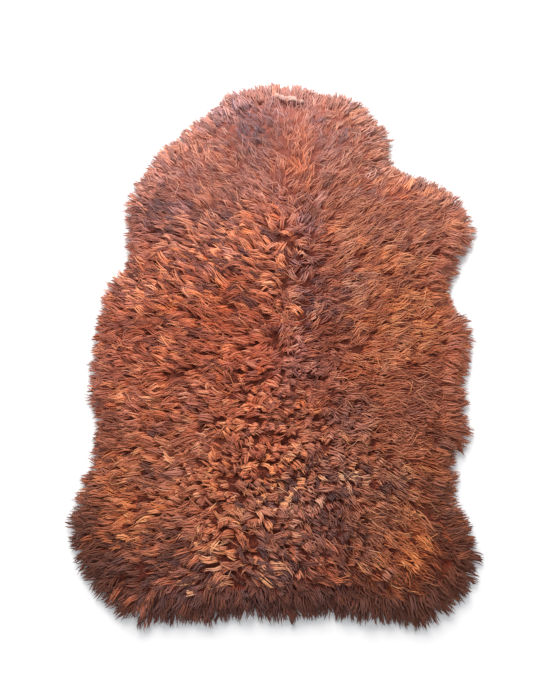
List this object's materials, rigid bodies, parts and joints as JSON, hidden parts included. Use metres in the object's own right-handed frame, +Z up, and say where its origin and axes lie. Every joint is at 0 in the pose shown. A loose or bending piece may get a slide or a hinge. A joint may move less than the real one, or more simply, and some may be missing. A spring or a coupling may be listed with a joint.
{
  "type": "sheepskin rug",
  "caption": "Long-wool sheepskin rug: one flat hide with a lumpy russet fleece, combed outwards from the spine, and drooping locks all round its rim.",
  "frame": {"origin": "middle of the flat underside, under the middle of the whole rug", "axes": "+Y points to the neck end along the rug's length, +X to the right seen from above with the neck up, +Z up out of the wool"},
  "size_m": [0.7042, 0.996, 0.0517],
  "materials": {
    "wool": "matte",
    "hide": "matte"
  },
  "bodies": {
    "root": {"sheepskin": "wool"}
  },
  "joints": []
}
